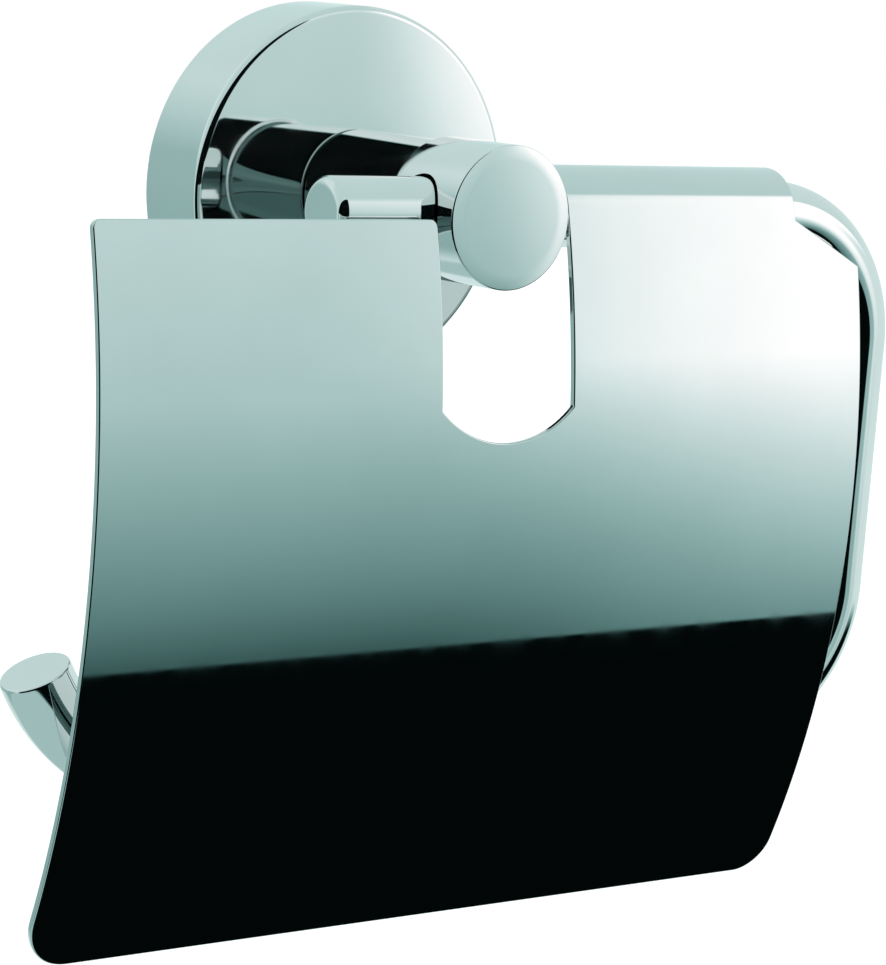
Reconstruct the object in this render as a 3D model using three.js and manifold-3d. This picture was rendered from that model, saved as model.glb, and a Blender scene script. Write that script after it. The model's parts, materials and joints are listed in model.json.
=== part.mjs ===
// A wall-mounted toilet paper holder with a hinged lid, in millimetres.
//
// Frame: the origin is the centre of the rosette on the wall. +Y points into the wall, so the room
// is at -Y. +X runs along the hinge bar, towards the bend of the arm, and +Z is up.
//
// A bracket disc is screwed to the wall. The rosette slides over it and is held by a set screw.
// A turned post is bolted through the rosette, and its head holds the arm: one rod that runs
// through the head, bends down and back, and turns up at its free end. The lid is a bowed sheet
// that curls round the rod beside the head.

import * as THREE from "three";
import { mergeVertices } from "three/addons/utils/BufferGeometryUtils.js";
import Module from "manifold-3d";

const wasm = await Module();
wasm.setup();

// ---- Driving dimensions -------------------------------------------------------------------------

const GAP = 0.3; // between pieces that rest on each other

const ROSETTE = { radius: 27.5, depth: 14.6, wall: 3, round: 1.1, boltHole: 3.3 };
const PLATE = { radius: 22, depth: 7, groove: 1.4, screwPitch: 22 };
const WALL_SCREW = { radius: 2, head: 4, headFace: -6.9, length: 32 };
const PLUG = { radius: 3, bore: 2.3, length: 24, ribs: 6 };
const SET_SCREW = { radius: 2, socket: 1.1, socketDepth: 2 };

const POST = { neck: 9.5, head: 10.2, shoulder: 0.7, back: -36.9, front: -52.8 };
const BOLT = { radius: 3, head: 5, headDepth: 2.6, tip: -31 };
const WASHER = { outer: 6.2, inner: 3.4, thickness: 1 };
const PIN = { radius: 1, offset: 6, back: -12.4, front: -18.4 };

const ROD = 5; // radius of the arm's rod
const HINGE = { y: -43.9, z: 0 }; // the axis of the rod's upper run, and of the lid's hinge
const ARM = { stub: -26.2, leg: 74.85, bend: 20, lowerRun: -78, upturnX: -41, upturn: 28.6 };
const ARM_LEAN = 0.03; // how far the arm leans back to the wall, for each millimetre down
const UPTURN_ANGLE = THREE.MathUtils.degToRad(64.9);

const SHEET = 1; // thickness of the lid
const LID = { half: 66.35, bottom: -103.55, bow: 155.5, topEdge: -0.3 };
const LID_CORNER = { lowerLeft: 7.5, lowerRight: 5.4, top: 1.2 };
const CURL = { radius: 6.9, left: 11.45, right: 54.4, end: THREE.MathUtils.degToRad(-40) };
const SLOT = { half: 11.45, shoulder: -26.5, arc: 16 };
const CHAMFER_DROP = 6.8; // how far the lid's right shoulder falls from the curl to the side edge
const LINER = { inner: 5.2, outer: 5.7, inset: 0.5 };
const BUFFER = { radius: 4, thickness: 1.2, x: 45 };

// ---- Materials ----------------------------------------------------------------------------------

const material = (color, roughness, metalness) =>
  new THREE.MeshStandardMaterial({ color, roughness, metalness });

const chrome = material(0xc9dedb, 0.06, 1);
const zinc = material(0x9aa0a2, 0.5, 0.9);
const steel = material(0xb0b4b6, 0.35, 1);
const nylon = material(0x8f9499, 0.6, 0);
const softPlastic = material(0xe8ecec, 0.4, 0);

// ---- Solids -------------------------------------------------------------------------------------

// A closed geometry as a manifold-3d solid, with its shared vertices merged.
function solid(geometry) {
  const bare = geometry.clone();
  bare.deleteAttribute("normal");
  bare.deleteAttribute("uv");
  const merged = mergeVertices(bare, 1e-4);
  const triVerts = new Uint32Array(merged.index.array);
  const vertProperties = merged.attributes.position.array;
  return new wasm.Manifold(new wasm.Mesh({ numProp: 3, vertProperties, triVerts }));
}

// A manifold-3d solid as a geometry with one normal per face.
function geometryOf(body) {
  const { vertProperties, triVerts } = body.getMesh();
  const indexed = new THREE.BufferGeometry();
  indexed.setAttribute("position", new THREE.BufferAttribute(new Float32Array(vertProperties), 3));
  indexed.setIndex(new THREE.BufferAttribute(new Uint32Array(triVerts), 1));
  const flat = indexed.toNonIndexed();
  flat.computeVertexNormals();
  return flat;
}

// body with every cutter taken out of it.
function cut(body, ...cutters) {
  return geometryOf(cutters.reduce((left, cutter) => left.subtract(cutter), body));
}

// A profile of [radius, y] points turned about the Y axis.
function turned(profile, segments = 48) {
  const points = profile.map(([r, y]) => new THREE.Vector2(r, y));
  return solid(new THREE.LatheGeometry(points, segments));
}

// A cylinder about the Y axis from y = from up to y = to.
function rod(radius, from, to, segments = 24) {
  return turned([[0, from], [radius, from], [radius, to], [0, to]], segments);
}

function box(low, high) {
  const size = high.map((v, i) => v - low[i]);
  const middle = high.map((v, i) => (v + low[i]) / 2);
  return solid(new THREE.BoxGeometry(...size)).translate(middle);
}

// A hexagonal key socket about the Y axis.
function socket(radius, from, to) {
  return rod(radius, from, to, 6);
}

// A 2-D outline extruded from y = from to y = to, with the outline's axes along X and Z.
function slab(shape, from, to, curveSegments = 16) {
  const options = { depth: to - from, bevelEnabled: false, curveSegments };
  const geometry = new THREE.ExtrudeGeometry(shape, options);
  geometry.rotateX(Math.PI / 2);
  return solid(geometry.translate(0, to, 0));
}

// Points along an arc of a circle, from one angle to another, both included.
function arcPoints(cx, cy, radius, from, to, steps) {
  return Array.from({ length: steps + 1 }, (_, i) => {
    const angle = from + ((to - from) * i) / steps;
    return [cx + radius * Math.cos(angle), cy + radius * Math.sin(angle)];
  });
}

// ---- Wall fixing --------------------------------------------------------------------------------

const SCREW_Z = [PLATE.screwPitch / 2, -PLATE.screwPitch / 2];
const SET_SCREW_Y = -5; // the plate's groove and the rosette's set screw are level with each other

function wallPlate() {
  const { radius, depth, groove } = PLATE;
  const body = turned([
    [0, -depth], [radius - 0.5, -depth], [radius, -depth + 0.3], [radius - groove, SET_SCREW_Y],
    [radius, -3.2], [radius, 0], [0, 0],
  ]);
  // A countersunk hole for each wall screw.
  const sink = [[0, -depth - 1], [5.5, -depth - 1], [2.4, -4.9], [2.4, 1], [0, 1]];
  return cut(body, ...SCREW_Z.map((z) => turned(sink, 32).translate([0, 0, z])));
}

// A countersunk wood screw about the Y axis, with its cross recess and a thread of sharp rings.
function wallScrew() {
  const { radius, head, headFace, length } = WALL_SCREW;
  const neck = headFace + head - radius;
  const tip = headFace + length;
  const pitch = 1.6;
  const threadStart = neck + 8;
  const rings = Math.floor((tip - 5 - threadStart) / pitch);
  const thread = Array.from({ length: rings }, (_, i) => {
    const y = threadStart + i * pitch;
    return [[radius - 0.5, y], [radius, y + pitch / 2]];
  }).flat();
  const profile = [
    [0, headFace], [head, headFace], [head, headFace + 0.1], [radius - 0.1, neck + 0.2],
    [radius - 0.1, threadStart - 0.6], ...thread,
    [radius - 0.5, threadStart + rings * pitch], [0, tip],
  ];
  const recess = [[2.4, 0.45], [0.45, 2.4]].map(([x, z]) =>
    box([-x, headFace - 1, -z], [x, headFace + 1.6, z]));
  return cut(turned(profile, 20), ...recess);
}

// A ribbed sleeve that grips the wall, about the Y axis.
function wallPlug() {
  const { radius, bore, length, ribs } = PLUG;
  const pitch = (length - 5) / ribs;
  const outside = Array.from({ length: ribs }, (_, i) => {
    const y = 3 + i * pitch;
    return [[radius - 0.35, y], [radius, y + pitch - 0.4]];
  }).flat();
  const body = turned([
    [bore, GAP], [radius + 0.8, GAP], [radius + 0.8, 1.4], [radius, 1.8], ...outside,
    [radius - 0.5, length], [bore, length], [bore, GAP],
  ], 24);
  const slit = box([-radius - 1, 10, -0.4], [radius + 1, length + 1, 0.4]);
  return cut(body, slit);
}

// A cone-pointed socket set screw along Z: its socket is at the bottom, its point at the top.
function setScrew(bottom, top) {
  const { radius, socket: hex, socketDepth } = SET_SCREW;
  const body = turned([
    [0, bottom], [radius - 0.3, bottom], [radius, bottom + 0.3], [radius, top - 1.4],
    [0.5, top], [0, top],
  ], 24);
  return cut(body, socket(hex, bottom - 1, bottom + socketDepth)).rotateX(Math.PI / 2);
}

// ---- Rosette and post ---------------------------------------------------------------------------

function rosette() {
  const { radius, depth, wall, round, boltHole } = ROSETTE;
  const rim = arcPoints(radius - round, -depth + round, round, -Math.PI / 2, 0, 5);
  const body = turned([
    [boltHole, -depth], ...rim, [radius, -0.4], [radius - 0.4, 0],
    [radius - wall, 0], [radius - wall, -depth + wall + 1], [radius - wall - 1, -depth + wall],
    [boltHole, -depth + wall], [boltHole, -depth],
  ], 72);
  const screwHole = rod(SET_SCREW.radius + GAP, -radius - 1, -radius + wall + 1);
  const pinHole = rod(PIN.radius + GAP, -depth - 1, -depth + wall + 1, 16);
  return cut(
    body,
    screwHole.rotate([90, 0, 0]).translate([0, SET_SCREW_Y, 0]),
    pinHole.translate([0, 0, PIN.offset]),
  );
}

// The neck and the drum-shaped head, turned from one bar and cross-bored for the arm.
function post() {
  const { neck, head, shoulder, back: headBack, front } = POST;
  const back = -ROSETTE.depth - GAP;
  const body = turned([
    [0, front], [head - 0.3, front], [head, front + 0.3],
    ...arcPoints(head - shoulder, headBack - shoulder, shoulder, 0, Math.PI / 2, 4),
    [neck, back - 0.2], [neck - 0.2, back], [0, back],
  ], 64);
  const bore = rod(ROD + 0.4, -head - 2, head + 2, 40).rotate([0, 0, 90]);
  const screwHole = rod(SET_SCREW.radius + GAP, -head - 2, 0).rotate([90, 0, 0]);
  return cut(
    body,
    bore.translate([0, HINGE.y, HINGE.z]),
    screwHole.translate([0, HINGE.y, 0]),
    rod(BOLT.radius + GAP, BOLT.tip - 1, back + 1),
    rod(PIN.radius + GAP, PIN.front - GAP, back + 1, 16).translate([0, 0, PIN.offset]),
  );
}

const BOLT_SEAT = -ROSETTE.depth + ROSETTE.wall + GAP; // the washer's front face

function postBolt() {
  const { radius, head, headDepth, tip } = BOLT;
  const underHead = BOLT_SEAT + WASHER.thickness + GAP;
  const top = underHead + headDepth;
  const body = turned([
    [0, tip], [radius - 0.5, tip], [radius, tip + 0.5], [radius, underHead],
    [head, underHead], [head, top - 0.4], [head - 0.4, top], [0, top],
  ], 32);
  return cut(body, socket(2, top - 1.6, top + 1));
}

function postWasher() {
  const { outer, inner, thickness } = WASHER;
  const back = BOLT_SEAT + thickness;
  const body = turned(
    [[inner, BOLT_SEAT], [outer, BOLT_SEAT], [outer, back], [inner, back], [inner, BOLT_SEAT]], 32);
  // The dowel pin passes the washer's edge.
  return cut(body, rod(PIN.radius + 0.5, BOLT_SEAT - 1, back + 1, 16).translate([0, 0, PIN.offset]));
}

function postPin() {
  return geometryOf(rod(PIN.radius, PIN.front, PIN.back, 16)).translate(0, 0, PIN.offset);
}

// ---- Arm ----------------------------------------------------------------------------------------

// The rod's centreline, made of straight runs and round bends, as a path of flat arcs and lines.
function armPath() {
  const at = (x, z) => new THREE.Vector3(x, HINGE.y - ARM_LEAN * z, z);
  const path = new THREE.CurvePath();
  const line = (from, to) => path.add(new THREE.LineCurve3(at(...from), at(...to)));
  const bend = (x, z, radius, from, to) => {
    const curve = new THREE.Curve();
    curve.getPoint = (t) => {
      const angle = from + (to - from) * t;
      return at(x + radius * Math.cos(angle), z + radius * Math.sin(angle));
    };
    path.add(curve);
  };
  const { stub, leg, bend: r, lowerRun, upturnX, upturn } = ARM;
  const right = Math.PI / 2;
  line([stub, 0], [leg - r, 0]);
  bend(leg - r, -r, r, right, 0);
  line([leg, -r], [leg, lowerRun + r]);
  bend(leg - r, lowerRun + r, r, 0, -right);
  line([leg - r, lowerRun], [upturnX, lowerRun]);
  bend(upturnX, lowerRun + upturn, upturn, -right, -right - UPTURN_ANGLE);
  return path;
}

function armBar() {
  const section = new THREE.Shape().absarc(0, 0, ROD, 0, 2 * Math.PI);
  const options = { steps: 104, curveSegments: 18, extrudePath: armPath() };
  return geometryOf(solid(new THREE.ExtrudeGeometry(section, options)));
}

// ---- Lid ----------------------------------------------------------------------------------------

// The bow's centre is where its arc and the curl meet in one smooth line.
const BOW = { z: -36.45 };
BOW.y = HINGE.y + Math.sqrt((LID.bow - CURL.radius) ** 2 - (BOW.z - HINGE.z) ** 2);

// The sheet's section, in [y, z], between two radii of the bow and the curl: offset 0 is its outer
// face and offset SHEET its inner face. It runs from the bottom edge up and over to the curl's end.
function sheetLine(offset, steps = 40, curlSteps = 28) {
  const meet = Math.atan2(HINGE.z - BOW.z, HINGE.y - BOW.y);
  const bottom = Math.atan2(LID.bottom - BOW.z, -Math.sqrt(LID.bow ** 2 - (LID.bottom - BOW.z) ** 2));
  const bow = arcPoints(BOW.y, BOW.z, LID.bow - offset, bottom + 2 * Math.PI, meet, steps);
  const curl = arcPoints(HINGE.y, HINGE.z, CURL.radius - offset, meet, CURL.end, curlSteps);
  return [...bow, ...curl.slice(1)];
}

// A closed section in [y, z], extruded along X.
function alongX(section, from, to) {
  const shape = new THREE.Shape(section.map(([y, z]) => new THREE.Vector2(y, z)));
  const options = { depth: to - from, bevelEnabled: false };
  const geometry = new THREE.ExtrudeGeometry(shape, options);
  // The shape's axes go to Y and Z, and its depth goes to X.
  const turn = new THREE.Matrix4().set(0, 0, 1, from, 1, 0, 0, 0, 0, 1, 0, 0, 0, 0, 0, 1);
  return solid(geometry.applyMatrix4(turn));
}

// The lid's outline seen from the room, in [x, z], without the curl.
function lidOutline() {
  const { half, bottom, topEdge } = LID;
  const { lowerLeft, lowerRight, top } = LID_CORNER;
  const dip = SLOT.arc - Math.sqrt(SLOT.arc ** 2 - SLOT.half ** 2);
  const sweep = Math.asin(SLOT.half / SLOT.arc);
  const overTop = 2 * CURL.radius;
  const right = Math.PI / 2;
  const shape = new THREE.Shape();
  shape.moveTo(-half + lowerLeft, bottom);
  shape.lineTo(half - lowerRight, bottom);
  shape.absarc(half - lowerRight, bottom + lowerRight, lowerRight, -right, 0, false);
  shape.lineTo(half, topEdge - CHAMFER_DROP);
  shape.lineTo(CURL.right, topEdge);
  shape.lineTo(CURL.right, overTop);
  shape.lineTo(CURL.left, overTop);
  shape.lineTo(SLOT.half, SLOT.shoulder);
  shape.absarc(0, SLOT.shoulder - dip + SLOT.arc, SLOT.arc, -right + sweep, -right - sweep, true);
  shape.lineTo(-SLOT.half, topEdge - top);
  shape.absarc(-SLOT.half - top, topEdge - top, top, 0, right, false);
  shape.lineTo(-half + top, topEdge);
  shape.absarc(-half + top, topEdge - top, top, right, 2 * right, false);
  shape.lineTo(-half, bottom + lowerLeft);
  shape.absarc(-half + lowerLeft, bottom + lowerLeft, lowerLeft, 2 * right, 3 * right, false);
  return shape;
}

function lid() {
  const section = [...sheetLine(0), ...sheetLine(SHEET).reverse()];
  const sheet = alongX(section, -LID.half - 1, LID.half + 1);
  const outline = slab(lidOutline(), HINGE.y - 2 * CURL.radius, 0);
  // The curl's back hangs below the left half's top edge, so it is cut off on its own.
  const behind = HINGE.y - CURL.radius + 2 * SHEET;
  const low = HINGE.z - CURL.radius - 1;
  const high = HINGE.z + CURL.radius + 1;
  const leftOfCurl = box([-LID.half - 2, behind, low], [CURL.left, 0, high]);
  const rightOfCurl = box([CURL.right, behind, low], [LID.half + 2, 0, high]);
  return cut(sheet.intersect(outline), leftOfCurl, rightOfCurl);
}

// A thin open sleeve that keeps the curl from rattling on the rod.
function hingeLiner() {
  const meet = Math.atan2(HINGE.z - BOW.z, HINGE.y - BOW.y);
  const ring = (radius) => arcPoints(HINGE.y, HINGE.z, radius, meet, CURL.end, 28);
  const section = [...ring(LINER.outer), ...ring(LINER.inner).reverse()];
  return geometryOf(alongX(section, CURL.left + LINER.inset, CURL.right - LINER.inset));
}

// A round pad on the lid's inner face, where the face passes the arm's lower run.
function lidBuffer() {
  const { radius, thickness } = BUFFER;
  const runY = HINGE.y - ARM_LEAN * ARM.lowerRun;
  const tilt = Math.atan2(ARM.lowerRun - BOW.z, runY - BOW.y);
  const out = LID.bow - SHEET - GAP;
  const pad = geometryOf(turned([
    [0, 0], [radius, 0], [radius, thickness - 0.4], [radius - 0.4, thickness], [0, thickness],
  ], 24));
  // The pad's own +Y axis turns to face the bow's centre.
  pad.rotateX(tilt + Math.PI);
  return pad.translate(0, BOW.y + out * Math.cos(tilt), BOW.z + out * Math.sin(tilt));
}

// ---- The holder ---------------------------------------------------------------------------------

const holder = new THREE.Group();

function add(name, geometry, finish, position = [0, 0, 0]) {
  const mesh = new THREE.Mesh(geometry, finish);
  mesh.name = name;
  mesh.position.set(...position);
  holder.add(mesh);
}

add("wall_plate", wallPlate(), zinc);
["upper", "lower"].forEach((place, i) => {
  add(`wall_screw_${place}`, wallScrew(), steel, [0, 0, SCREW_Z[i]]);
  add(`wall_plug_${place}`, wallPlug(), nylon, [0, 0, SCREW_Z[i]]);
});

add("rosette", rosette(), chrome);
add("rosette_set_screw", setScrew(-26.6, -21.3), steel, [0, SET_SCREW_Y, 0]);
add("post", post(), chrome);
add("post_bolt", postBolt(), steel);
add("post_washer", postWasher(), steel);
add("post_dowel_pin", postPin(), steel);

add("arm_bar", armBar(), chrome);
add("arm_set_screw", setScrew(-POST.head + 0.5, -ROD - GAP), steel, [0, HINGE.y, 0]);

add("lid", lid(), chrome);
add("lid_hinge_liner", hingeLiner(), nylon);
add("lid_buffer_left", lidBuffer(), softPlastic, [-BUFFER.x, 0, 0]);
add("lid_buffer_right", lidBuffer(), softPlastic, [BUFFER.x, 0, 0]);

export default holder;
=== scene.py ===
# The looks of a wall-mounted toilet paper holder with a hinged lid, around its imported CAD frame.
#
# Lengths here are in millimetres until a mesh is made, in the CAD's own frame: +Y goes into the
# wall, +X runs along the hinge bar and +Z is up. The visible pieces are built again with rounded
# edges and exact normals, because polished chrome shows every facet.

import json
import math
from math import cos, pi, sin

import bmesh
import bpy
from mathutils import Matrix, Vector


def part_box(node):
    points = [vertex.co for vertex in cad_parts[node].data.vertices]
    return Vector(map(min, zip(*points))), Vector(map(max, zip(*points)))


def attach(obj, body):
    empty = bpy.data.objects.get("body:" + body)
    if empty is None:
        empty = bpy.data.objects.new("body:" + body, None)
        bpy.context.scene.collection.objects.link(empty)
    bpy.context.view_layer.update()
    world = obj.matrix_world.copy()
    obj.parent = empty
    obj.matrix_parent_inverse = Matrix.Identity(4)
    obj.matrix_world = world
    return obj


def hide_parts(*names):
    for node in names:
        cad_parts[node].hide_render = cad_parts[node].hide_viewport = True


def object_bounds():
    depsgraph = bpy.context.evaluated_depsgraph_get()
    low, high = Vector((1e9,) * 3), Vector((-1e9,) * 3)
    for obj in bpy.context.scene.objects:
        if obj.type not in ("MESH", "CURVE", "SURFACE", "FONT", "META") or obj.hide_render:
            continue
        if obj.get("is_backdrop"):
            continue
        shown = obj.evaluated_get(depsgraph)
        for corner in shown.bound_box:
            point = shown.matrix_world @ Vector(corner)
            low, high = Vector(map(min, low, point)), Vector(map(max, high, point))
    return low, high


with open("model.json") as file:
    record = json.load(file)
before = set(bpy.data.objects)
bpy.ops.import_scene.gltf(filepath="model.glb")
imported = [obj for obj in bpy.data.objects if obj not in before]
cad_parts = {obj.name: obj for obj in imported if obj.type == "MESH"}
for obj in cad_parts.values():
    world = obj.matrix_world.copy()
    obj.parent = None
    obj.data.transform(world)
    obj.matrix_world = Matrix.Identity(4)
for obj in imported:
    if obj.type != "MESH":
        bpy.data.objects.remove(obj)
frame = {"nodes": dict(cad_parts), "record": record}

MM = 0.001
cad_low, cad_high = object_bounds()


def corners(node):
    low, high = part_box(node)
    return [v / MM for v in low], [v / MM for v in high]


# ---- The frame's own measures -------------------------------------------------------------------

ROSETTE_LOW, ROSETTE_HIGH = corners("rosette")
ROSETTE_R = ROSETTE_HIGH[0]
ROSETTE_FRONT = ROSETTE_LOW[1]
POST_LOW, POST_HIGH = corners("post")
HEAD_R = POST_HIGH[0]
HEAD_FRONT = POST_LOW[1]
ARM_LOW, ARM_HIGH = corners("arm_bar")
LID_LOW, LID_HIGH = corners("lid")
LINER_LOW, LINER_HIGH = corners("lid_hinge_liner")
HINGE = frame["record"]["behaviour"]["joints"][0]["pos_m"]
HINGE_Y, HINGE_Z = HINGE[1] / MM, HINGE[2] / MM

ROD = 5.0
BEND = 20.0
UPTURN, UPTURN_ANGLE = 28.6, math.radians(64.9)
LOWER_RUN, UPTURN_X = -78.0, -41.0
LEAN = 0.03
NECK_R, SHOULDER, HEAD_BACK = 9.5, 0.7, -36.9
ROSETTE_WALL, RIM_ROUND = 3.0, 1.1
SET_SCREW_Y = -5.0

SHEET = 1.0
BOW_R = 155.5
CURL_R = 6.9
CURL_LEFT, CURL_RIGHT = 11.45, 54.4
CURL_END = math.radians(-40)
SLOT_HALF, SLOT_SHOULDER, SLOT_ARC = 11.45, -26.5, 16.0
LID_LEFT_CORNER, LID_RIGHT_CORNER, LID_TOP_CORNER = 7.5, 5.4, 1.2
LID_TOP, CHAMFER_DROP = -0.3, 6.8
LID_HALF = LID_HIGH[0]
LID_BOTTOM = LID_LOW[2]


# ---- Meshes with exact normals ------------------------------------------------------------------


def make_object(name, points, faces, loop_normals=None, vertex_normals=None):
    mesh = bpy.data.meshes.new(name)
    mesh.from_pydata([Vector(p) * MM for p in points], [], faces)
    mesh.update()
    for polygon in mesh.polygons:
        polygon.use_smooth = True
    if loop_normals:
        mesh.normals_split_custom_set([Vector(n).normalized() for n in loop_normals])
    if vertex_normals:
        mesh.normals_split_custom_set_from_vertices([Vector(n).normalized() for n in vertex_normals])
    obj = bpy.data.objects.new(name, mesh)
    bpy.context.scene.collection.objects.link(obj)
    return obj


def arc(cx, cy, radius, start, end, steps):
    """Profile points along an arc; each carries the arc's centre, apart from the last."""
    points = []
    for i in range(steps + 1):
        a = start + (end - start) * i / steps
        centre = (cx, cy) if i < steps else None
        points.append((cx + radius * cos(a), cy + radius * sin(a), centre))
    return points


def edge_normals(p, q):
    """Outward normals at both ends of a profile edge: flat, or round about the edge's centre."""
    dr, dy = q[0] - p[0], q[1] - p[1]
    flat = Vector((dy, -dr)).normalized()
    if p[2] is None:
        return flat, flat
    ends = []
    for point in (p, q):
        radial = Vector((point[0] - p[2][0], point[1] - p[2][1])).normalized()
        ends.append(radial if radial.dot(flat) > 0 else -radial)
    return ends[0], ends[1]


def clean(profile):
    """Profile points as (r, y, centre), with repeats left out."""
    points = []
    for p in profile:
        p = (p[0], p[1], p[2] if len(p) > 2 else None)
        if points and math.dist(points[-1][:2], p[:2]) < 1e-6:
            points[-1] = p
        else:
            points.append(p)
    return points


def turned(name, profile, segments=160):
    """A profile of (radius, y) turned about the Y axis. It runs from the front, outwards and back."""
    profile = clean(profile)
    points, rings = [], []
    for r, y, _ in profile:
        if r < 1e-9:
            rings.append([len(points)] * segments)
            points.append((0, y, 0))
        else:
            rings.append(list(range(len(points), len(points) + segments)))
            points += [(r * cos(2 * pi * j / segments), y, r * sin(2 * pi * j / segments))
                       for j in range(segments)]
    closed = math.dist(profile[0][:2], profile[-1][:2]) < 1e-6 and profile[0][0] > 0
    if closed:
        del points[rings[-1][0]:]
        rings[-1] = rings[0]
    faces, normals = [], []
    for i in range(len(profile) - 1):
        n0, n1 = edge_normals(profile[i], profile[i + 1])
        for j in range(segments):
            k = (j + 1) % segments
            a, b = 2 * pi * j / segments, 2 * pi * (j + 1) / segments
            ring = [(rings[i][j], n0, a), (rings[i + 1][j], n1, a), (rings[i + 1][k], n1, b),
                    (rings[i][k], n0, b)]
            unique = [c for c, corner in enumerate(ring) if corner[0] != ring[c - 1][0]]
            if len(unique) < 3:
                continue
            faces.append([ring[c][0] for c in unique])
            normals += [(ring[c][1][0] * cos(ring[c][2]), ring[c][1][1],
                         ring[c][1][0] * sin(ring[c][2])) for c in unique]
    return make_object(name, points, faces, loop_normals=normals)


def swept(name, stations, radius, first_round, last_round, segments=72):
    """A round rod through stations of (centre, tangent, side), with flat ends and rounded edges."""
    rings = []
    steps = 8
    first, last = stations[0], stations[-1]

    def end_rings(station, sign, round_edge):
        centre, tangent, side = station
        made = []
        for i in range(steps + 1):
            a = pi / 2 * i / steps
            r = radius - round_edge + round_edge * sin(a)
            shift = round_edge * (1 - cos(a))
            made.append((centre + tangent * shift * sign, side, r, sin(a), -sign * cos(a), tangent))
        return made

    rings += end_rings(first, 1, first_round)
    rings += [(c, s, radius, 1.0, 0.0, t) for c, t, s in stations[1:-1]]
    rings += end_rings(last, -1, last_round)[::-1]
    points, normal_of = [], []
    for centre, side, r, out, along, tangent in rings:
        up = tangent.cross(side)
        for j in range(segments):
            a = 2 * pi * j / segments
            radial = side * cos(a) + up * sin(a)
            points.append(centre + radial * r)
            normal_of.append(radial * out + tangent * along)
    faces, normals = [], []
    for i in range(len(rings) - 1):
        for j in range(segments):
            k = (j + 1) % segments
            quad = [i * segments + j, i * segments + k, (i + 1) * segments + k, (i + 1) * segments + j]
            faces.append(quad)
            normals += [normal_of[v] for v in quad]
    count = len(rings) * segments
    faces.append(list(range(segments))[::-1])
    normals += [-first[1]] * segments
    faces.append(list(range(count - segments, count)))
    normals += [last[1]] * segments
    return make_object(name, points, faces, loop_normals=normals)


def drilled(obj, holes, surface):
    """Cuts round holes (base, direction, radius, length) from obj, then sets its normals: from
    surface(point) on the outside, from the hole's axis in a hole, and flat elsewhere."""
    cutters = []
    for base, direction, radius, length in holes:
        turn = Vector((0, 0, 1)).rotation_difference(Vector(direction)).to_matrix().to_4x4()
        bm = bmesh.new()
        bmesh.ops.create_cone(bm, cap_ends=True, segments=96, radius1=radius * MM,
                              radius2=radius * MM, depth=length * MM)
        centre = Vector(base) + Vector(direction) * length / 2
        bmesh.ops.transform(bm, matrix=Matrix.Translation(centre * MM) @ turn, verts=bm.verts)
        mesh = bpy.data.meshes.new("cutter")
        bm.to_mesh(mesh)
        bm.free()
        cutter = bpy.data.objects.new("cutter", mesh)
        bpy.context.scene.collection.objects.link(cutter)
        modifier = obj.modifiers.new("hole", "BOOLEAN")
        modifier.operation = "DIFFERENCE"
        modifier.solver = "EXACT"
        modifier.object = cutter
        cutters.append(cutter)
    graph = bpy.context.evaluated_depsgraph_get()
    mesh = bpy.data.meshes.new_from_object(obj.evaluated_get(graph))
    obj.modifiers.clear()
    old = obj.data
    obj.data = mesh
    bpy.data.meshes.remove(old)
    for cutter in cutters:
        bpy.data.objects.remove(cutter)
    normals = []
    for polygon in mesh.polygons:
        polygon.use_smooth = True
        for v in polygon.vertices:
            point = mesh.vertices[v].co / MM
            options = [surface(point, polygon.normal)]
            for base, direction, radius, length in holes:
                along = Vector(direction)
                radial = point - Vector(base)
                radial -= along * radial.dot(along)
                if abs(radial.length - radius) < 0.05:
                    options.append(-radial.normalized())
            best = max(options, key=lambda n: n.dot(polygon.normal))
            normals.append(best if best.dot(polygon.normal) > 0.94 else polygon.normal.copy())
    mesh.normals_split_custom_set(normals)
    return obj


def profile_surface(profile):
    """A function from a point and a face normal to the turned profile's normal near it."""
    profile = clean(profile)

    def normal_at(point, face_normal):
        r = math.hypot(point.x, point.z)
        best, found = 1e9, None
        for p, q in zip(profile, profile[1:]):
            edge = Vector((q[0] - p[0], q[1] - p[1]))
            if edge.length < 1e-9:
                continue
            t = max(0, min(1, Vector((r - p[0], point.y - p[1])).dot(edge) / edge.length_squared))
            away = math.dist((r, point.y), (p[0] + edge.x * t, p[1] + edge.y * t))
            n0, n1 = edge_normals(p, q)
            n = n0.lerp(n1, t).normalized()
            if r > 1e-6:
                turned_normal = Vector((n.x * point.x / r, n.y, n.x * point.z / r))
            else:
                turned_normal = Vector((0, n.y, 0))
            score = away + 0.2 * (1 - turned_normal.dot(face_normal))
            if score < best:
                best, found = score, turned_normal
        return found

    return normal_at


# ---- Rosette ------------------------------------------------------------------------------------

EDGE = 0.3
ROSETTE_CROWN, HEAD_CROWN = 600.0, 500.0
FALL_START, FALL_RADIUS = 8.0, 32.0  # where the head's face starts to round off, and how tightly


def sag(r, radius):
    """How far a crowned face falls back at r from its centre."""
    return r * r / (2 * radius)


def crown(start, end, front, radius, steps):
    """A slightly domed face, from one radius out to another."""
    rs = [start + (end - start) * i / steps for i in range(steps + 1)]
    return [(r, front + sag(r, radius), (0, front + radius)) for r in rs]


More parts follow.
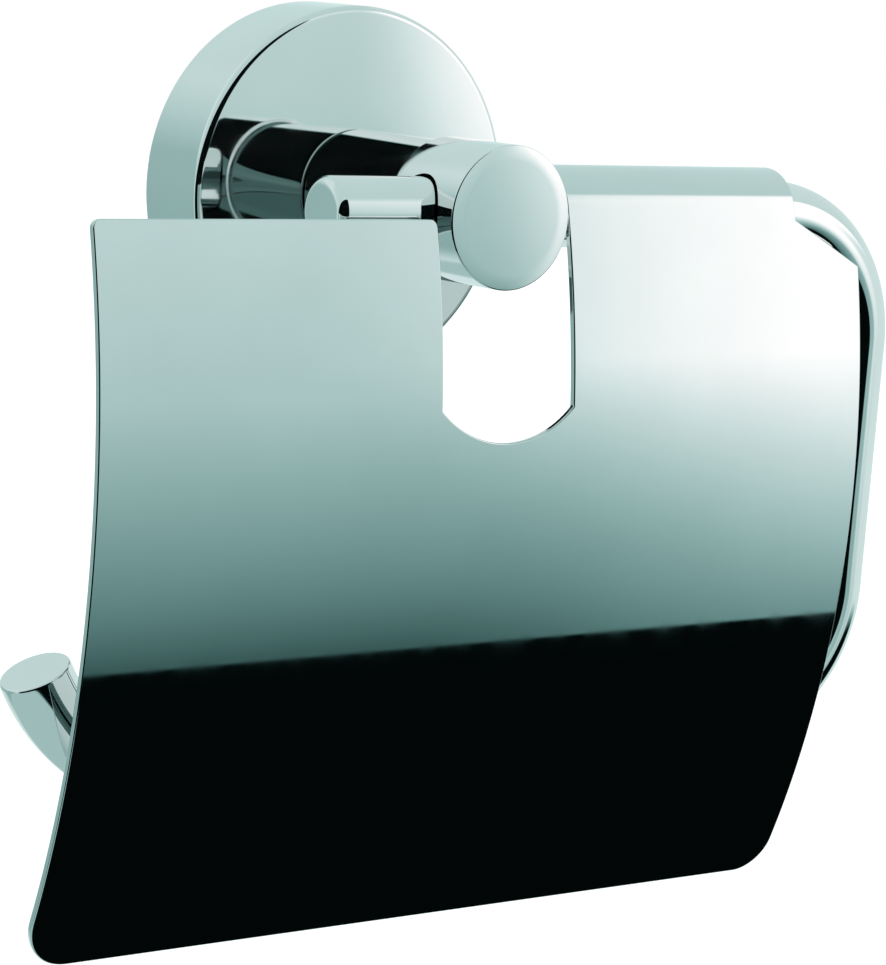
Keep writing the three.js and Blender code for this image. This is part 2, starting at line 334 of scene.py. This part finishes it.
def rosette_profile():
    r, front, wall = ROSETTE_R, ROSETTE_FRONT, ROSETTE_WALL
    hole = 3.3
    inner = r - wall
    return [
        *crown(hole, r - RIM_ROUND, front, ROSETTE_CROWN, 24),
        *arc(r - RIM_ROUND, front + sag(r - RIM_ROUND, ROSETTE_CROWN) + RIM_ROUND, RIM_ROUND,
             -pi / 2, 0, 14),
        *arc(r - 0.4, -0.4, 0.4, 0, pi / 2, 4),
        *arc(inner + EDGE, -EDGE, EDGE, pi / 2, pi, 3),
        *arc(inner - 1, front + wall + 1, 1, 0, -pi / 2, 5),
        (hole, front + wall, None),
        (hole, front + sag(hole, ROSETTE_CROWN), None),
    ]


profile = rosette_profile()
rosette = turned("rosette_shell", profile, 256)
drilled(rosette, [((0, SET_SCREW_Y, -ROSETTE_R - 2), (0, 0, 1), 2.3, 8)], profile_surface(profile))
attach(rosette, "holder")
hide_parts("rosette")


# ---- Post ---------------------------------------------------------------------------------------


def post_profile():
    front, face_edge = HEAD_FRONT, 0.22
    back = POST_HIGH[1]
    edge_r = HEAD_R - face_edge
    # The face is nearly flat, and falls away a little more in its outer part.
    tilt = FALL_START / HEAD_CROWN
    fall_y = front + sag(FALL_START, HEAD_CROWN)
    centre = (FALL_START - FALL_RADIUS * tilt, fall_y + FALL_RADIUS)
    fall = [FALL_START + (edge_r - FALL_START) * i / 6 for i in range(7)]
    outer = [(r, centre[1] - math.sqrt(FALL_RADIUS**2 - (r - centre[0]) ** 2), centre) for r in fall]
    return [
        *crown(0, FALL_START, front, HEAD_CROWN, 12),
        *outer,
        *arc(edge_r, outer[-1][1] + face_edge, face_edge, -pi / 2, 0, 6),
        *[(HEAD_R, HEAD_FRONT + 1 + i * 0.7, None) for i in range(20)],
        *arc(HEAD_R - SHOULDER, HEAD_BACK - SHOULDER, SHOULDER, 0, pi / 2, 8),
        (NECK_R, back - 0.9, None),
        *arc(NECK_R - 0.3, back - 0.3, 0.3, 0, pi / 2, 4),
        (0, back, None),
    ]


profile = post_profile()
post = turned("post_turned", profile, 224)
drilled(
    post,
    [((-14, HINGE_Y, HINGE_Z), (1, 0, 0), ROD + 0.4, 28),
     ((0, HINGE_Y, -14), (0, 0, 1), 2.3, 9.5)],
    profile_surface(profile),
)
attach(post, "holder")
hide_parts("post")


# ---- Arm ----------------------------------------------------------------------------------------


def arm_stations():
    """The rod's centreline: straight runs and round bends, leaning back to the wall as they fall."""
    leg = ARM_HIGH[0] - ROD
    across = Vector((0, 1, LEAN)).normalized()

    def at(x, z):
        return Vector((x, HINGE_Y - LEAN * (z - HINGE_Z), z))

    flat = [(ARM_LOW_STUB, 0), (leg - BEND, 0)]
    flat += bend_points(leg - BEND, -BEND, BEND, pi / 2, 0, 40)
    flat += bend_points(leg - BEND, LOWER_RUN + BEND, BEND, 0, -pi / 2, 40)
    flat += [(x, LOWER_RUN) for x in (30, 0, -20)]
    flat += bend_points(UPTURN_X, LOWER_RUN + UPTURN, UPTURN, -pi / 2, -pi / 2 - UPTURN_ANGLE, 44)
    path = [at(*p) for p in flat]
    stations = []
    for i, centre in enumerate(path):
        before, after = path[max(i - 1, 0)], path[min(i + 1, len(path) - 1)]
        tangent = (after - before).normalized()
        stations.append((centre, tangent, across))
    return exact_tangents(stations, flat, leg, at)


def bend_points(x, z, radius, start, end, steps):
    return [(x + radius * cos(start + (end - start) * i / steps),
             z + radius * sin(start + (end - start) * i / steps)) for i in range(steps + 1)]


def exact_tangents(stations, flat, leg, at):
    """Tangents taken from the straight or bend that each station lies on, not from neighbours."""
    made = []
    bends = [(leg - BEND, -BEND, BEND, -1), (leg - BEND, LOWER_RUN + BEND, BEND, -1),
             (UPTURN_X, LOWER_RUN + UPTURN, UPTURN, -1)]
    for (centre, tangent, across), (x, z) in zip(stations, flat):
        for cx, cz, radius, turn in bends:
            on_arc = abs(math.hypot(x - cx, z - cz) - radius) < 1e-6
            if on_arc and (x >= cx - 1e-6 if cx > 0 else x <= cx + 1e-6):
                a = math.atan2(z - cz, x - cx)
                step = Vector((-sin(a) * turn, 0, cos(a) * turn))
                step.y = -LEAN * step.z
                tangent = step.normalized()
        side = across - tangent * across.dot(tangent)
        made.append((centre, tangent, side.normalized()))
    return made


ARM_LOW_STUB = -26.2
arm = swept("arm_rod", arm_stations(), ROD, 1.6, 0.4)
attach(arm, "holder")
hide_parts("arm_bar")


# ---- Lid ----------------------------------------------------------------------------------------

BOW_Z = -36.45
BOW_Y = HINGE_Y + math.sqrt((BOW_R - CURL_R) ** 2 - (BOW_Z - HINGE_Z) ** 2)
MEET = math.atan2(HINGE_Z - BOW_Z, HINGE_Y - BOW_Y)
LID_START = 2 * pi + math.atan2(LID_BOTTOM - BOW_Z, -math.sqrt(BOW_R**2 - (LID_BOTTOM - BOW_Z) ** 2))
BOW_LENGTH = (LID_START - MEET) * BOW_R
CURL_LENGTH = (MEET - CURL_END) * CURL_R


def along(z):
    """The distance up the bow, on its outer face, at height z."""
    return (LID_START - (pi - math.asin((z - BOW_Z) / BOW_R))) * BOW_R


def section(s):
    """Centre, radius and angle of the lid's outer face at the distance s up from its bottom."""
    if s <= BOW_LENGTH:
        return (BOW_Y, BOW_Z), BOW_R, LID_START - s / BOW_R
    return (HINGE_Y, HINGE_Z), CURL_R, MEET - (s - BOW_LENGTH) / CURL_R


def corner_arc(x, z, radius, start, end, steps):
    return [(x + radius * cos(start + (end - start) * i / steps),
             z + radius * sin(start + (end - start) * i / steps)) for i in range(steps + 1)]


def lid_outline():
    """The sheet's flat outline as (x, distance up), anticlockwise seen from the room."""
    half, bottom, t, top = LID_HALF, LID_BOTTOM, LID_TOP_CORNER, LID_TOP
    left, right = LID_LEFT_CORNER, LID_RIGHT_CORNER
    sweep = math.asin(SLOT_HALF / SLOT_ARC)
    dip = SLOT_ARC - math.sqrt(SLOT_ARC**2 - SLOT_HALF**2)
    q = pi / 2
    small = 0.5
    right_top = (half, top - CHAMFER_DROP)
    lower = [
        *corner_arc(half - right, bottom + right, right, -q, 0, 20),
        right_top,
        (CURL_RIGHT, top),
    ]
    slot = [
        (SLOT_HALF, SLOT_SHOULDER),
        *corner_arc(0, SLOT_SHOULDER - dip + SLOT_ARC, SLOT_ARC, -q + sweep, -q - sweep, 30)[1:],
        *corner_arc(-SLOT_HALF - t, top - t, t, 0, q, 8),
        *corner_arc(-half + t, top - t, t, q, 2 * q, 8),
        *corner_arc(-half + left, bottom + left, left, 2 * q, 3 * q, 20),
    ]
    end = BOW_LENGTH + CURL_LENGTH
    flat = [(x, along(z)) for x, z in lower]
    flat += [(CURL_RIGHT, end - small), (CURL_RIGHT - small, end),
             (CURL_LEFT + small, end), (CURL_LEFT, end - small)]
    flat += [(x, along(z)) for x, z in slot]
    return flat


def bent_sheet(name, outline, thickness, inset, curve, cuts, edge):
    """A flat sheet with rounded edges, cut into strips and bent along curve(s). It lies inset
    inside the curve's radius, and its edge is rounded by edge."""
    bm = bmesh.new()
    face = bm.faces.new([bm.verts.new((x, s, 0)) for x, s in outline])
    bm.normal_update()
    if face.normal.z < 0:
        face.normal_flip()
    made = bmesh.ops.extrude_face_region(bm, geom=[face])
    moved = [v for v in made["geom"] if isinstance(v, bmesh.types.BMVert)]
    for v in moved:
        v.co.z = 0
    low = [v for v in bm.verts if v not in set(moved)]
    for v in low:
        v.co.z = -thickness
    bmesh.ops.recalc_face_normals(bm, faces=bm.faces)
    bm.normal_update()
    rims = [e for e in bm.edges if len(e.link_faces) == 2
            and abs(e.link_faces[0].normal.z) + abs(e.link_faces[1].normal.z) > 0.9
            and abs(e.link_faces[0].normal.z * e.link_faces[1].normal.z) < 0.1]
    bmesh.ops.bevel(bm, geom=rims, offset=edge, segments=3, profile=0.5, affect="EDGES",
                    clamp_overlap=True)
    for s in cuts:
        geom = bm.verts[:] + bm.edges[:] + bm.faces[:]
        bmesh.ops.bisect_plane(bm, geom=geom, dist=1e-5, plane_co=(0, s, 0), plane_no=(0, 1, 0))
    bm.normal_update()
    bm.verts.index_update()
    points, normals = [], []
    for v in bm.verts:
        flats = [f for f in v.link_faces if abs(f.normal.z) > 0.999]
        sides = [f for f in v.link_faces if abs(f.normal.z) < 0.02]
        used = flats or sides or list(v.link_faces)
        n = sum((f.normal for f in used), Vector()).normalized()
        x, s, w = v.co
        (cy, cz), radius, angle = curve(s)
        out = Vector((0, cos(angle), sin(angle)))
        up = Vector((0, sin(angle), -cos(angle)))
        r = radius - inset + w
        points.append((x, cy + r * cos(angle), cz + r * sin(angle)))
        normals.append(Vector((1, 0, 0)) * n.x + up * n.y + out * n.z)
    faces = [[v.index for v in f.verts] for f in bm.faces]
    bm.free()
    return make_object(name, points, faces, vertex_normals=normals)


bow_cuts = [BOW_LENGTH * i / 96 for i in range(1, 97)]
curl_cuts = [BOW_LENGTH + CURL_LENGTH * i / 60 for i in range(1, 60)]
lid = bent_sheet("lid_sheet", lid_outline(), SHEET, 0, section, bow_cuts + curl_cuts, 0.22)
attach(lid, "lid")
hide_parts("lid")

# The sleeve inside the curl is bent the same way, from the curl's start to its end.
liner_outer, liner_thickness = 5.7, 0.5
x0, x1 = LINER_LOW[0], LINER_HIGH[0]
liner_outline = [(x0, BOW_LENGTH), (x1, BOW_LENGTH), (x1, BOW_LENGTH + CURL_LENGTH),
                 (x0, BOW_LENGTH + CURL_LENGTH)]
liner = bent_sheet("hinge_liner_sleeve", liner_outline, liner_thickness, CURL_R - liner_outer,
                   lambda s: ((HINGE_Y, HINGE_Z), CURL_R, MEET - (s - BOW_LENGTH) / CURL_R),
                   curl_cuts, 0.1)
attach(liner, "lid")
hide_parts("lid_hinge_liner")


# ---- Buffers ------------------------------------------------------------------------------------

run_y = HINGE_Y - LEAN * LOWER_RUN
tilt = math.atan2(LOWER_RUN - BOW_Z, run_y - BOW_Y)
pad_seat = BOW_R - SHEET - 0.3
pad_height, pad_r = 1.2, 4.0
for side in ("left", "right"):
    low, high = corners(f"lid_buffer_{side}")
    pad = turned(f"buffer_pad_{side}", [
        (0, 0, None),
        *arc(pad_r - 0.15, 0.15, 0.15, -pi / 2, 0, 3),
        *arc(pad_r - 0.6, pad_height - 0.6, 0.6, 0, pi / 2, 8),
        (0, pad_height, None),
    ], 64)
    turn = Matrix.Rotation(tilt + pi, 4, "X")
    place = Matrix.Translation(Vector(((low[0] + high[0]) / 2, BOW_Y + pad_seat * cos(tilt),
                                       BOW_Z + pad_seat * sin(tilt))) * MM)
    pad.matrix_world = place @ turn
    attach(pad, "lid")
    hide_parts(f"lid_buffer_{side}")


# ---- Materials ----------------------------------------------------------------------------------


def new_material(name):
    material = bpy.data.materials.new(name)
    material.use_nodes = True
    nodes = material.node_tree.nodes
    return material, nodes, material.node_tree.links, nodes["Principled BSDF"]


def noise(nodes, links, scale, detail=4, stretch=None):
    coords = nodes.new("ShaderNodeTexCoord")
    texture = nodes.new("ShaderNodeTexNoise")
    texture.inputs["Scale"].default_value = scale
    texture.inputs["Detail"].default_value = detail
    source = coords.outputs["Object"]
    if stretch:
        mapping = nodes.new("ShaderNodeMapping")
        mapping.inputs["Scale"].default_value = stretch
        links.new(source, mapping.inputs["Vector"])
        source = mapping.outputs["Vector"]
    links.new(source, texture.inputs["Vector"])
    return texture.outputs["Fac"]


def between(nodes, links, factor, low, high, start=0.35, end=0.65):
    ramp = nodes.new("ShaderNodeMapRange")
    ramp.inputs["From Min"].default_value = start
    ramp.inputs["From Max"].default_value = end
    ramp.inputs["To Min"].default_value = low
    ramp.inputs["To Max"].default_value = high
    links.new(factor, ramp.inputs["Value"])
    return ramp.outputs["Result"]


def tinted(nodes, links, factor, dark, light):
    mix = nodes.new("ShaderNodeMix")
    mix.data_type = "RGBA"
    mix.inputs["A"].default_value = (*dark, 1)
    mix.inputs["B"].default_value = (*light, 1)
    links.new(between(nodes, links, factor, 0, 1), mix.inputs["Factor"])
    return mix.outputs["Result"]


def bump(nodes, links, height, strength, distance):
    node = nodes.new("ShaderNodeBump")
    node.inputs["Strength"].default_value = strength
    node.inputs["Distance"].default_value = distance
    links.new(height, node.inputs["Height"])
    return node.outputs["Normal"]


# Two copies of one chrome. The lid's copy is darker, which is painted shade: it dims the lid's
# reflections against the rosette's, post's and arm's.
CHROME = (0.89, 0.865, 0.86)
SHADED_SHEET_CHROME = (0.756, 0.777, 0.773)


def chrome(name, colour):
    """Mirror chrome: a faint cool cast, a breath of haze in patches, and hairline polishing."""
    material, nodes, links, shader = new_material(name)
    shader.inputs["Metallic"].default_value = 1
    cloud = noise(nodes, links, 60, 3)
    links.new(tinted(nodes, links, cloud, [c - 0.012 for c in colour], [c + 0.012 for c in colour]),
              shader.inputs["Base Color"])
    haze = noise(nodes, links, 220, 6)
    links.new(between(nodes, links, haze, 0.02, 0.055), shader.inputs["Roughness"])
    hairs = noise(nodes, links, 900, 2, (1, 1, 0.08))
    links.new(bump(nodes, links, hairs, 0.015, 0.00002), shader.inputs["Normal"])
    return material


def metal(name, dark, light, rough_low, rough_high, grain, depth):
    material, nodes, links, shader = new_material(name)
    shader.inputs["Metallic"].default_value = 1
    links.new(tinted(nodes, links, noise(nodes, links, 90, 5), dark, light),
              shader.inputs["Base Color"])
    fine = noise(nodes, links, grain, 6)
    links.new(between(nodes, links, fine, rough_low, rough_high), shader.inputs["Roughness"])
    links.new(bump(nodes, links, fine, 0.3, depth), shader.inputs["Normal"])
    return material


def plastic(name, dark, light, rough_low, rough_high, transmission=0.0):
    material, nodes, links, shader = new_material(name)
    shader.inputs["Transmission Weight"].default_value = transmission
    links.new(tinted(nodes, links, noise(nodes, links, 120, 4), dark, light),
              shader.inputs["Base Color"])
    fine = noise(nodes, links, 1500, 5)
    links.new(between(nodes, links, fine, rough_low, rough_high), shader.inputs["Roughness"])
    links.new(bump(nodes, links, fine, 0.2, 0.00003), shader.inputs["Normal"])
    return material


finishes = {
    "chrome": chrome("polished_chrome", CHROME),
    # The darker copy of the chrome, for the lid: painted shade.
    "shaded_sheet_chrome": chrome("shaded_sheet_chrome", SHADED_SHEET_CHROME),
    "steel": metal("stainless_steel", (0.45, 0.46, 0.47), (0.6, 0.61, 0.62), 0.22, 0.4, 1200, 0.00004),
    "zinc_steel": metal("zinc_plate", (0.38, 0.41, 0.43), (0.58, 0.61, 0.62), 0.38, 0.6, 500, 0.00008),
    "nylon": plastic("grey_nylon", (0.25, 0.265, 0.28), (0.33, 0.345, 0.36), 0.45, 0.6),
    "soft_plastic": plastic("clear_pad", (0.82, 0.85, 0.85), (0.92, 0.94, 0.94), 0.15, 0.3, 0.7),
}


def paint(obj, finish):
    obj.data.materials.clear()
    obj.data.materials.append(finishes[finish])


for piece in (rosette, post, arm):
    paint(piece, "chrome")
# The lid gets the darker copy of the chrome, which paints shade into its reflections.
paint(lid, "shaded_sheet_chrome")
paint(liner, "nylon")
for side in ("left", "right"):
    paint(bpy.data.objects[f"buffer_pad_{side}"], "soft_plastic")
slots = {s["node"]: s["material_slot"] for s in frame["record"]["subparts"]}
for name, node in frame["nodes"].items():
    for material_slot in node.material_slots:
        material_slot.material = finishes[slots[name]]


# ---- Studio -------------------------------------------------------------------------------------


# Light levels: 1 is white as the lid's sheet shows it. The angles are pitches in degrees.
DARK, DIM = 0.002, 0.05
SIDE_WALL, PALE_FLOOR = 0.65, 0.45
SHADED_ROOM = [(-180, 0.6), (-110, 0.6), (-31, 0.1), (-25, 0.2), (0, 0.55), (35, 0.7), (48, 0.55),
               (180, 0.6)]
LIT_ROOM = [(-180, 0.65), (-110, 0.65), (-31, 0.3), (4, 1), (46, 1), (52, 0.6), (180, 0.65)]
WALL_BEHIND = [(-90, 0.3), (10, 0.4), (35, 0.65), (90, 0.65)]
RED_SHARE, BLUE_SHARE = 0.35, 0.95  # how much red and blue is left in the deepest shade


def studio():
    world = bpy.data.worlds.new("studio")
    bpy.context.scene.world = world
    world.use_nodes = True
    nodes, links = world.node_tree.nodes, world.node_tree.links
    nodes.clear()

    def math_node(operation, a, b=0.0, clamp=False):
        node = nodes.new("ShaderNodeMath")
        node.operation = operation
        node.use_clamp = clamp
        for i, value in enumerate((a, b)):
            if isinstance(value, (int, float)):
                node.inputs[i].default_value = value
            else:
                links.new(value, node.inputs[i])
        return node.outputs[0]

    def ramp(value, low, high, stops):
        scaled = nodes.new("ShaderNodeMapRange")
        scaled.inputs["From Min"].default_value = low
        scaled.inputs["From Max"].default_value = high
        links.new(value, scaled.inputs["Value"])
        node = nodes.new("ShaderNodeValToRGB")
        links.new(scaled.outputs["Result"], node.inputs["Fac"])
        elements = node.color_ramp.elements
        while len(elements) < len(stops):
            elements.new(0.5)
        for element, (at, level) in zip(elements, stops):
            element.position = (at - low) / (high - low)
            element.color = (level, level, level, 1)
        return node.outputs["Color"]

    def mixed(factor, a, b):
        return math_node("ADD", a, math_node("MULTIPLY", factor, math_node("SUBTRACT", b, a)))

    def cool(level):
        """The light's colour: shade is teal, and turns to white as the level rises to 1."""
        colour = nodes.new("ShaderNodeCombineColor")
        for socket, share, sheet in zip(colour.inputs, (RED_SHARE, 1, BLUE_SHARE), SHADED_SHEET_CHROME):
            tint = math_node("ADD", math_node("MULTIPLY", level, 1 - share), share)
            links.new(math_node("DIVIDE", math_node("MULTIPLY", level, tint), sheet), socket)
        return colour.outputs["Color"]

    def smooth(value, start, end):
        """0 up to start, rising smoothly to 1 at end. start may be the higher of the two."""
        fade = nodes.new("ShaderNodeMapRange")
        fade.interpolation_type = "SMOOTHSTEP"
        rising = end > start
        fade.inputs["From Min"].default_value = start if rising else end
        fade.inputs["From Max"].default_value = end if rising else start
        fade.inputs["To Min"].default_value = 0 if rising else 1
        fade.inputs["To Max"].default_value = 1 if rising else 0
        links.new(value, fade.inputs["Value"])
        return fade.outputs["Result"]

    def pitch_back(y, z):
        return math_node("MULTIPLY", math_node("ARCTAN2", z, y), 180 / pi)

    coords = nodes.new("ShaderNodeTexCoord")
    direction_out = coords.outputs["Generated"]
    split = nodes.new("ShaderNodeSeparateXYZ")
    links.new(direction_out, split.inputs[0])
    x, y, z = split.outputs
    front = math_node("MULTIPLY", y, -1)
    azimuth = math_node("MULTIPLY", math_node("ARCTAN2", x, front), 180 / pi)
    pitch = math_node("MULTIPLY", math_node("ARCTAN2", z, front), 180 / pi)

    # Pitch is the angle over the front horizon about the X axis: 90 is straight up, 180 is behind.
    shaded = ramp(pitch, -180, 180, SHADED_ROOM)
    lit = ramp(pitch, -180, 180, LIT_ROOM)
    # The room brightens towards the right, a little later low down than high up.
    low_turn = math_node("ADD", azimuth, math_node("MULTIPLY", pitch, 0.15))
    high_turn = math_node("ADD", math_node("MULTIPLY", math_node("ARCSINE", x), 180 / pi), 0.6)
    room = mixed(smooth(math_node("MINIMUM", low_turn, high_turn), 34.5, 43), shaded, lit)
    # Far round to the right the room is an even grey.
    right = math_node("MULTIPLY", smooth(azimuth, 48, 66), smooth(z, 0.3, 0.1))
    room = mixed(right, room, SIDE_WALL)
    # The wall behind, which is dimmer towards the left.
    left_behind = math_node("MULTIPLY", smooth(x, -0.05, -0.35), smooth(y, 0.1, 0.45))
    room = mixed(left_behind, room, ramp(pitch_back(y, z), -90, 90, WALL_BEHIND))
    # The dark side of the studio, in front and to the left.
    dark = math_node("MULTIPLY", smooth(azimuth, 25, 22), smooth(azimuth, -92, -84))
    dark = math_node("MULTIPLY", dark, smooth(pitch, 43, 40))
    dark = math_node("MULTIPLY", dark, smooth(y, 0.05, -0.02))
    room = mixed(dark, room, DARK)
    # The black table in front, and the pale one to its left.
    table = math_node("MULTIPLY", smooth(pitch, -31.2, -31.7), smooth(z, -0.22, -0.3))
    room = mixed(math_node("MULTIPLY", table, smooth(y, 0.1, -0.05)), room, DARK)
    lean = math_node("SUBTRACT", z, math_node("MULTIPLY", x, 0.2))
    pale = math_node("MULTIPLY", smooth(lean, -0.57, -0.6), smooth(x, 0.4, 0.3))
    room = mixed(pale, room, PALE_FLOOR)

    # Light that has been reflected again and again between the pieces is dimmer.
    path = nodes.new("ShaderNodeLightPath")
    deep = math_node("GREATER_THAN", path.outputs["Glossy Depth"], 2.5)
    room = mixed(math_node("MULTIPLY", deep, 0.8), room, DIM)
    # Everything but a reflection sees plain white.
    seen = nodes.new("ShaderNodeMix")
    seen.data_type = "RGBA"
    seen.inputs["A"].default_value = (1, 1, 1, 1)
    links.new(cool(room), seen.inputs["B"])
    links.new(path.outputs["Is Glossy Ray"], seen.inputs["Factor"])
    background = nodes.new("ShaderNodeBackground")
    links.new(seen.outputs["Result"], background.inputs["Color"])
    output = nodes.new("ShaderNodeOutputWorld")
    links.new(background.outputs[0], output.inputs["Surface"])


studio()

floor_z = cad_low.z - 0.12
floor = make_object("floor", [(x / MM, y / MM, floor_z / MM) for x, y in
                              ((-3, -3), (3, -3), (3, 3), (-3, 3))], [(0, 1, 2, 3)])
floor_material, nodes, links, shader = new_material("pale_floor")
links.new(tinted(nodes, links, noise(nodes, links, 3, 2), (0.93, 0.94, 0.94), (0.95, 0.955, 0.955)),
          shader.inputs["Base Color"])
shader.inputs["Roughness"].default_value = 0.9
shader.inputs["Emission Color"].default_value = (1, 1, 1, 1)
shader.inputs["Emission Strength"].default_value = 0.25
floor.data.materials.append(floor_material)
floor.visible_glossy = False
floor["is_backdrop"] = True


# ---- Camera -------------------------------------------------------------------------------------

AZIMUTH, ELEVATION, ROLL = math.radians(-36.5), math.radians(8.7), math.radians(3.4)
TARGET = Vector((7.7, -30, -41.2)) * MM
DISTANCE = 517 * MM

back_axis = Vector((sin(AZIMUTH) * cos(ELEVATION), -cos(AZIMUTH) * cos(ELEVATION), sin(ELEVATION)))
right = (-back_axis).cross(Vector((0, 0, 1))).normalized()
up = right.cross(-back_axis)
right, up = right * cos(ROLL) + up * sin(ROLL), up * cos(ROLL) - right * sin(ROLL)
camera_data = bpy.data.cameras.new("camera")
camera_data.sensor_fit = "HORIZONTAL"
camera_data.sensor_width = 36
camera_data.lens = 142.5
camera_data.clip_start = 0.01
camera_data.clip_end = 20
camera = bpy.data.objects.new("camera", camera_data)
bpy.context.scene.collection.objects.link(camera)
turn = Matrix((right, up, back_axis)).transposed().to_4x4()
camera.matrix_world = Matrix.Translation(TARGET + back_axis * DISTANCE) @ turn
bpy.context.scene.camera = camera
bpy.context.scene.view_settings.view_transform = "Standard"

low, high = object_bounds()
